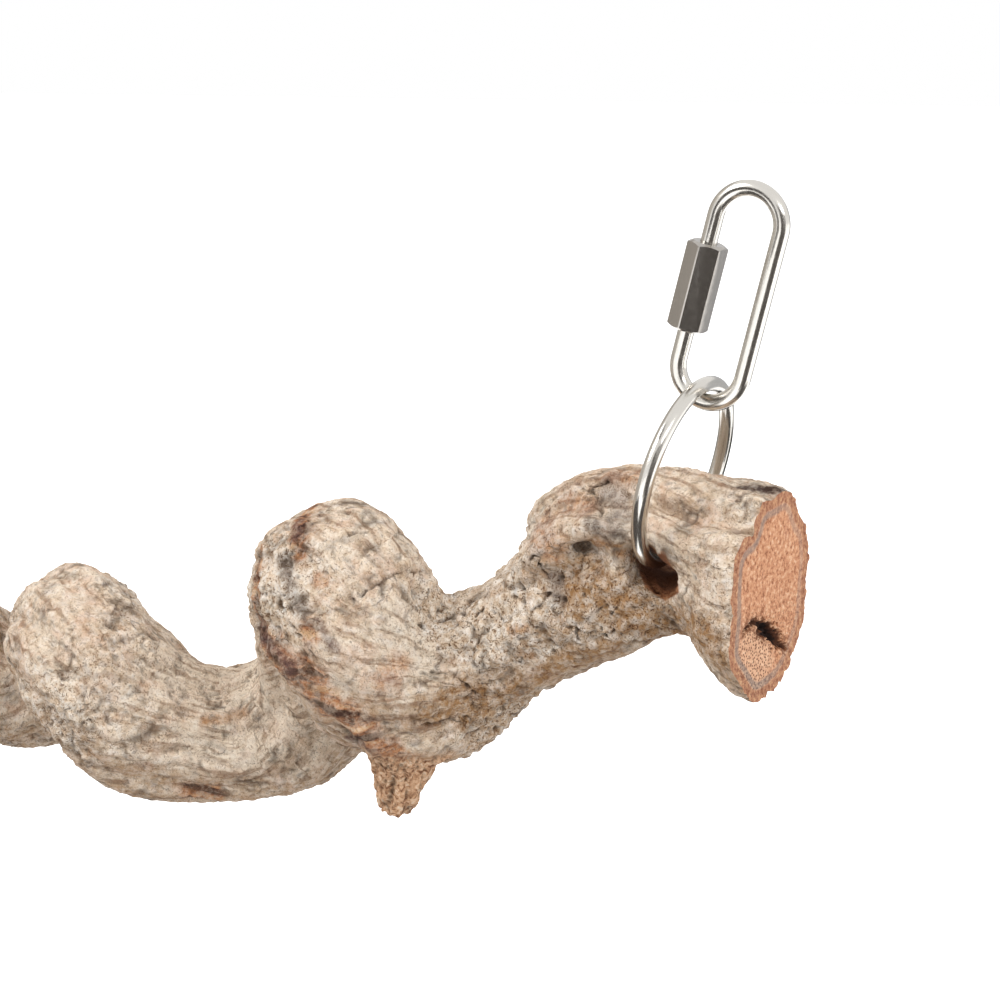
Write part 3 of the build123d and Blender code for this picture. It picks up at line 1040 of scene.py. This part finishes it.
# %% Specks and hairlines
speck_size = 1.5 * MM
hair_size = 6 * MM
hair_stretch = (0.45, 1, 1)  # along the grain, and round the branch
speck_noise = add_node(
    tree, "TexNoise", {"Vector": place, "Scale": 1 / speck_size, "Detail": 3.0, "Distortion": 2.2}
)
specks = add_node(tree, "MapRange", {"Value": speck_noise, "From Min": 0.68, "From Max": 0.77})
hair_place = add_node(tree, "Mapping", {"Vector": grain_place, "Scale": hair_stretch})
hair_noise = add_node(
    tree, "TexNoise", {"Vector": hair_place, "Scale": 1 / hair_size, "Detail": 3.0, "Distortion": 0.3}
)
from_hair = add_node(tree, "Math", {0: hair_noise, 1: 0.5}, operation="SUBTRACT")
hair_apart = add_node(tree, "Math", {0: from_hair}, operation="ABSOLUTE")
hairlines = add_node(tree, "MapRange", {"Value": hair_apart, "From Min": 0.02, "From Max": 0.006})
hair_gaps = add_node(tree, "MapRange", {"Value": tints, "From Min": 0.55, "From Max": 0.62})
short_hairs = add_node(tree, "Math", {0: hairlines, 1: hair_gaps}, operation="MULTIPLY")
fine_marks = add_node(tree, "Math", {0: specks, 1: short_hairs}, operation="MAXIMUM")
fine_strength = add_node(tree, "MapRange", {"Value": mark["crumbly"], "To Min": 0.35, "To Max": 0.62})
fine_share = add_node(tree, "Math", {0: fine_marks, 1: fine_strength}, operation="MULTIPLY")
print("bark nodes so far:", len(tree.nodes))

# %% Creases, bored holes and bump
all_marks = add_node(tree, "Math", {0: mark["crease"], 1: fine_share}, operation="MAXIMUM")
crease_share = add_node(tree, "Math", {0: all_marks, 1: 0.85}, operation="MULTIPLY")
# Dust and painted shade in the creases, cracks and pocket, and the dark of the specks and hairlines.
creased = add_node(tree, "Mix", {0: crease_share, 6: with_twig, 7: linear("#4a3726")}, data_type="RGBA")
bored_tone = add_node(
    tree, "ValToRGB", {"Fac": fibre_noise}, [(0.35, "#744529"), (0.55, "#a06c47"), (0.7, "#b98a65")]
)
fresh = add_node(tree, "Mix", {0: mark["bored"], 6: creased, 7: bored_tone}, data_type="RGBA")
# Painted shade deeper in the holes.
bark_colour = add_node(tree, "Mix", {0: mark["gloom"], 6: fresh, 7: linear("#7a4d33")}, data_type="RGBA")
rough_height = add_node(tree, "Math", {0: wrinkles, 1: 0.7, 2: flecks}, operation="MULTIPLY_ADD")
bark_height = add_node(tree, "Math", {0: rough_height, 1: fine_share}, operation="SUBTRACT")
bark_bump = add_node(tree, "Bump", {"Height": bark_height, "Strength": 1.0, "Distance": 1.0 * MM})
tree.links.new(bark_colour, shader["Base Color"])
tree.links.new(bark_bump, shader["Normal"])
shader["Roughness"].default_value = 0.92
shader["Specular IOR Level"].default_value = 0.25
print("bark nodes:", len(tree.nodes))

# %% [markdown]
# ## Sawn end grain
# A saw tears the fibres off across the grain, so the cut is matt, mottled and warm orange-brown. A thin grey
# line, where the living layer was, runs inside the rim of orange inner bark. The lobe round the knot is paler
# and full of open pores. Real pores are a fraction of a millimetre wide, too fine for this picture, so they
# are drawn nearly a millimetre apart.

# %% Sawn wood
cloud_size = 7 * MM
mottle_size = 1.1 * MM
pore_size = 0.95 * MM
sawn, tree, shader = new_material("sawn_end_grain")
place = add_node(tree, "TexCoord", {}, output="Object")
mark = {
    name: add_node(tree, "Attribute", {}, output="Fac", attribute_name=name)
    for name in ("edge_distance", "knot", "lobe", "porous")
}
cloud = add_node(tree, "TexNoise", {"Vector": place, "Scale": 1 / cloud_size, "Detail": 4.0})
mottle = add_node(
    tree, "TexNoise", {"Vector": place, "Scale": 1 / mottle_size, "Detail": 6.0, "Roughness": 0.72}
)
cloud_tone = add_node(
    tree,
    "ValToRGB",
    {"Fac": cloud},
    [(0.34, "#b9825f"), (0.47, "#d09a78"), (0.58, "#d9a47f"), (0.68, "#c3937c")],
)
mottle_tone = add_node(
    tree,
    "ValToRGB",
    {"Fac": mottle},
    [(0.36, "#834526"), (0.46, "#c2825d"), (0.54, "#d99f77"), (0.64, "#f0caa8")],
)
heartwood = add_node(tree, "Mix", {0: 0.75, 6: cloud_tone, 7: mottle_tone}, data_type="RGBA")
lobe_share = add_node(tree, "Math", {0: mark["lobe"], 1: 0.42}, operation="MULTIPLY")
pale_lobe = add_node(tree, "Mix", {0: lobe_share, 6: heartwood, 7: linear("#f0c6a4")}, data_type="RGBA")
face_place = add_node(tree, "Mapping", {"Vector": place, "Rotation": (0, radians(90), 0)})
pores = add_node(
    tree,
    "TexVoronoi",
    {"Vector": face_place, "Scale": 1 / pore_size, "Randomness": 0.75},
    voronoi_dimensions="2D",
)
pore_mark = add_node(tree, "MapRange", {"Value": pores, "From Min": 0.3, "From Max": 0.14})
pore_amount = add_node(tree, "Math", {0: pore_mark, 1: mark["porous"]}, operation="MULTIPLY")
pored = add_node(tree, "Mix", {0: pore_amount, 6: pale_lobe, 7: linear("#74452d")}, data_type="RGBA")
print("sawn wood nodes so far:", len(tree.nodes))

# %% [markdown]
# ## Rim and knot of the sawn wood
# The distance from the edge, kept when the end was sawn, places the rim and the grey line. A slow noise makes
# them uneven, and the line fades towards the back. The knot is darkest in its middle, which is rotten wood and
# painted shade of the pit, and its edge is splintered by the same mottle that colours the wood.

# %% Rim and grey line
rim_width = 1.6 * MM
rim_wander = 1.6 * MM
rim_blur = 0.2 * MM
line_width = 2.1 * MM
line_reach = 8 * MM  # from the middle to the front and to the back, where the line fades
uneven_edge = add_node(
    tree, "Math", {0: cloud, 1: -rim_wander, 2: mark["edge_distance"]}, operation="MULTIPLY_ADD"
)
from_rim = add_node(tree, "Math", {0: uneven_edge, 1: rim_width}, operation="SUBTRACT")
from_line = add_node(tree, "Math", {0: from_rim, 1: line_width / 2}, operation="SUBTRACT")
line_apart = add_node(tree, "Math", {0: from_line}, operation="ABSOLUTE")
line_share = add_node(
    tree,
    "MapRange",
    {"Value": line_apart, "From Min": 0.6 * line_width, "From Max": 0.25 * line_width},
)
line_amount = add_node(
    tree,
    "MapRange",
    {"Value": mottle, "From Min": 0.35, "From Max": 0.62, "To Min": 0.95, "To Max": 0.5},
)
to_the_back = add_node(tree, "SeparateXYZ", {"Vector": place}, output="Y")
front_share = add_node(
    tree,
    "MapRange",
    {"Value": to_the_back, "From Min": -line_reach, "From Max": line_reach, "To Min": 1.0, "To Max": 0.5},
)
clear_line = add_node(tree, "Math", {0: line_amount, 1: front_share}, operation="MULTIPLY")
grey_line = add_node(tree, "Math", {0: line_share, 1: clear_line}, operation="MULTIPLY")
lined = add_node(tree, "Mix", {0: grey_line, 6: pored, 7: linear("#8b7d75")}, data_type="RGBA")
rim_share = add_node(tree, "MapRange", {"Value": from_rim, "From Min": rim_blur, "From Max": -rim_blur})
rim_tone = add_node(
    tree,
    "ValToRGB",
    {"Fac": mottle},
    [(0.35, "#804a30"), (0.47, "#a97458"), (0.58, "#c38e68"), (0.68, "#dcb890")],
)
rimmed = add_node(tree, "Mix", {0: rim_share, 6: lined, 7: rim_tone}, data_type="RGBA")
print("sawn wood nodes so far:", len(tree.nodes))

# %% Rotten knot and bump
splinters = add_node(tree, "Math", {0: mottle, 1: -1.6, 2: mark["knot"]}, operation="MULTIPLY_ADD")
rotten = add_node(tree, "MapRange", {"Value": splinters, "From Min": -0.72, "From Max": -0.42})
# The dark knot colour is rotten wood and painted shade of the pit.
rot_and_pit_shade_tone = add_node(
    tree, "ValToRGB", {"Fac": mark["knot"]}, [(0.12, "#8a5737"), (0.45, "#5a3420"), (0.85, "#22110a")]
)
knotted = add_node(tree, "Mix", {0: rotten, 6: rimmed, 7: rot_and_pit_shade_tone}, data_type="RGBA")
sawn_height = add_node(tree, "Math", {0: mottle, 1: pore_amount}, operation="SUBTRACT")
sawn_bump = add_node(tree, "Bump", {"Height": sawn_height, "Strength": 0.7, "Distance": 0.5 * MM})
tree.links.new(knotted, shader["Base Color"])
tree.links.new(sawn_bump, shader["Normal"])
shader["Roughness"].default_value = 0.8
shader["Specular IOR Level"].default_value = 0.3
print("sawn wood nodes:", len(tree.nodes))

# %% [markdown]
# ## The wood as a piece
# The skin becomes one object with both finishes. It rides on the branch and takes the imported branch's place.

# %% Put the wood in the scene
branch = in_scene("perch_wood", skin)
skin.materials.append(bark)
skin.materials.append(sawn)
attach(branch, "branch")
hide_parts("perch_branch")
print("wood, triangles:", sum(len(p.vertices) - 2 for p in skin.polygons))

# %% [markdown]
# ## Steel
# The rings and the links are drawn wire, nickel-plated and tumbled bright. The plating mirrors the studio,
# and tumbling left it faintly uneven, which blurs and bends the reflections a little. The nuts are turned
# from hexagonal bar and are a shade duller.

# %% Steel materials
def steel(name, colour, roughness, dent_size, dent_depth):
    """A metal with slightly uneven polish."""
    material, tree, shader = new_material(name)
    place = add_node(tree, "TexCoord", {}, output="Object")
    polish = add_node(tree, "TexNoise", {"Vector": place, "Scale": 1 / dent_size, "Detail": 3.0})
    uneven = add_node(
        tree, "MapRange", {"Value": polish, "To Min": 0.6 * roughness, "To Max": 1.4 * roughness}
    )
    bump = add_node(tree, "Bump", {"Height": polish, "Strength": 0.3, "Distance": dent_depth})
    tree.links.new(uneven, shader["Roughness"])
    tree.links.new(bump, shader["Normal"])
    shader["Base Color"].default_value = linear(colour)
    shader["Metallic"].default_value = 1.0
    return material


hands = ("right", "left")
plated = steel("nickel_plated_wire", "#d9d5ce", 0.2, 2.2 * MM, 0.06 * MM)
turned = steel("turned_nut_steel", "#b5b0aa", 0.22, 0.9 * MM, 0.03 * MM)
for hand in hands:
    for node in ("hanging_ring", "quick_link"):
        wire_piece = frame["nodes"][f"{node}_{hand}"]
        wire_piece.data.materials.clear()
        wire_piece.data.materials.append(plated)
        print(wire_piece.name, "is now", plated.name)

# %% [markdown]
# ## Rounded edges on the nuts
# Hexagonal bar has slightly rounded edges, and tumbling wears them further. A bare sharp edge would vanish
# between two flats, but a rounded one always finds something bright to mirror and draws a thin line. So a
# copy of each nut gets a small bevel along its six long edges.

# %% Nuts
edge_round = 0.35 * MM
long_edge = 8 * MM
flat_angle, smooth_angle, corner_angle = radians(1), radians(26), radians(40)
for hand in hands:
    body = bmesh.new()
    body.from_mesh(frame["nodes"][f"link_nut_{hand}"].data)
    bmesh.ops.remove_doubles(body, verts=body.verts, dist=merge_distance)
    bmesh.ops.dissolve_limit(body, angle_limit=flat_angle, verts=body.verts, edges=body.edges)
    long_edges = [edge for edge in body.edges if edge.is_manifold and edge.calc_length() > long_edge]
    corners = [edge for edge in long_edges if edge.calc_face_angle_signed() > corner_angle]
    bmesh.ops.bevel(
        body, geom=corners, offset=edge_round, segments=3, profile=0.5, affect="EDGES", material=-1
    )
    for face in body.faces:
        face.smooth = True
    for edge in body.edges:
        edge.smooth = edge.is_manifold and edge.calc_face_angle() < smooth_angle
    nut = in_scene(f"nut_{hand}", mesh_of(body, f"nut_{hand}"))
    nut.data.materials.append(turned)
    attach(nut, f"{hand}_nut")
    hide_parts(f"link_nut_{hand}")
    print(nut.name, "long edges rounded:", len(corners))

# %% [markdown]
# ## Studio light
# A large softbox stands to the left and a small one to the right, and the white room adds even light from all
# round, a little less from below. Only rays from the camera, and those that polished steel mirrors, see the
# room at full white, so the picture gets its white ground without more light on the perch.

# %% Softboxes
def softbox(name, place, size, watts):
    """A square area lamp that faces the middle of the perch."""
    lamp = bpy.data.lights.new(name, "AREA")
    lamp.size = size
    lamp.energy = watts
    lamp_holder = bpy.data.objects.new(name, lamp)
    lamp_holder.location = aim + Vector(place)
    lamp_holder.rotation_euler = Vector(place).to_track_quat("Z", "Y").to_euler()
    bpy.context.scene.collection.objects.link(lamp_holder)


softbox("key_softbox", (-0.75, -0.75, 0.85), 0.7, 9.2)
softbox("fill_softbox", (0.95, -0.55, 0.4), 0.5, 5.4)
print("lamps:", [lamp.name for lamp in bpy.data.lights])

# %% White room
sky, ground = 0.86, 0.78
world = bpy.data.worlds.new("studio")
bpy.context.scene.world = world
world.use_nodes = True
tree = world.node_tree
backdrop = tree.nodes["Background"]
backdrop.inputs["Color"].default_value = linear(WHITE)
way = add_node(tree, "TexCoord", {}, output="Generated")
up = add_node(tree, "SeparateXYZ", {"Vector": way}, output="Z")
ambient = add_node(
    tree, "MapRange", {"Value": up, "From Min": -1.0, "From Max": 1.0, "To Min": ground, "To Max": sky}
)
ray = add_node(tree, "LightPath", {}).node.outputs
seen = add_node(tree, "Math", {0: ray["Is Camera Ray"], 1: ray["Is Glossy Ray"]}, operation="MAXIMUM")
seen_through = add_node(tree, "Math", {0: seen, 1: ray["Is Transmission Ray"]}, operation="MAXIMUM")
brightness = add_node(tree, "MapRange", {"Value": seen_through, "To Min": ambient, "To Max": 1.0})
tree.links.new(brightness, backdrop.inputs["Strength"])
print("world nodes:", len(tree.nodes))

# %% [markdown]
# ## Floor, and what the steel mirrors
# The perch hangs, so the floor lies well below it and the shadow falls out of the picture. Polished wire
# looks like the room that it mirrors. Grey and dark cloths stand to the left, to the right, behind and below,
# where a real studio is darker. Only reflections see them. On the wire they become dark stripes between
# bright ones, and on the nuts dark flats. Two small flags near the steel darken the ring in its hole and the
# crown of the right link.

# %% Floor
floor_drop = 340 * MM
floor_size = 30.0


def card(name, size, place, facing):
    """A flat square sheet of the studio that faces a direction."""
    sheet = bmesh.new()
    bmesh.ops.create_grid(sheet, x_segments=1, y_segments=1, size=size / 2)
    bmesh.ops.rotate(sheet, verts=sheet.verts, matrix=Vector(facing).to_track_quat("Z", "Y").to_matrix())
    bmesh.ops.translate(sheet, verts=sheet.verts, vec=place)
    holder = in_scene(name, mesh_of(sheet, name))
    return holder


def matt(name, colour, roughness, glow=0.0):
    """A dull material of the studio, which may also glow white."""
    material, _, shader = new_material(name)
    shader["Base Color"].default_value = linear(colour)
    shader["Roughness"].default_value = roughness
    shader["Emission Color"].default_value = linear(WHITE)
    shader["Emission Strength"].default_value = glow
    return material


floor = card("floor", floor_size, aim + Vector((0, 0, -floor_drop)), (0, 0, 1))
floor.data.materials.append(matt("white_floor_paint", "#f4f4f4", 0.9, glow=0.8))
floor.visible_diffuse = False
print("floor below the perch, mm:", round(floor_drop / MM))

# %% Cloths
# Name, colour, size in metres, degrees round from the front, degrees up, distance in metres
far_cloths = [
    ("dark_room", "#544f4b", 0.7, 46, -6, 0.6),
    ("grey_flag", "#bdb8b1", 1.9, -100, 0, 0.8),
    ("grey_wall", "#b6b7b9", 0.96, 172, -8, 0.9),
    ("dark_table", "#4a4643", 0.42, -50, -50, 0.3),
    ("dark_corner", "#4a4643", 0.4, 75, -58, 0.3),
]
cloths = []
for name, colour, size, degrees_round, degrees_up, distance in far_cloths:
    spot = Vector((sin(radians(degrees_round)), -cos(radians(degrees_round)), 0)) * cos(radians(degrees_up))
    spot.z = sin(radians(degrees_up))
    cloths.append((name, colour, size, aim + spot * distance, -spot))
hole_back = right_hole + Vector((2, 28, 10)) * MM
cloths.append(("hole_flag", "#2a2623", 30 * MM, hole_back, (0, -1, 0)))
crown_front = Vector((-26, -58, 2)) * MM
cloths.append(("crown_flag", "#4a4643", 38 * MM, crown_front, -crown_front))
for name, colour, size, place, facing in cloths:
    cloth = card(name, size, place, facing)
    cloth.visible_camera = False
    cloth.visible_diffuse = False
    cloth.visible_shadow = False
    cloth.data.materials.append(matt(name + "_cloth", colour, 1.0))
print("cloths:", len(cloths))

# %% [markdown]
# Bark stands a little proud of the imported branch.

bpy.context.scene.view_settings.view_transform = "Standard"
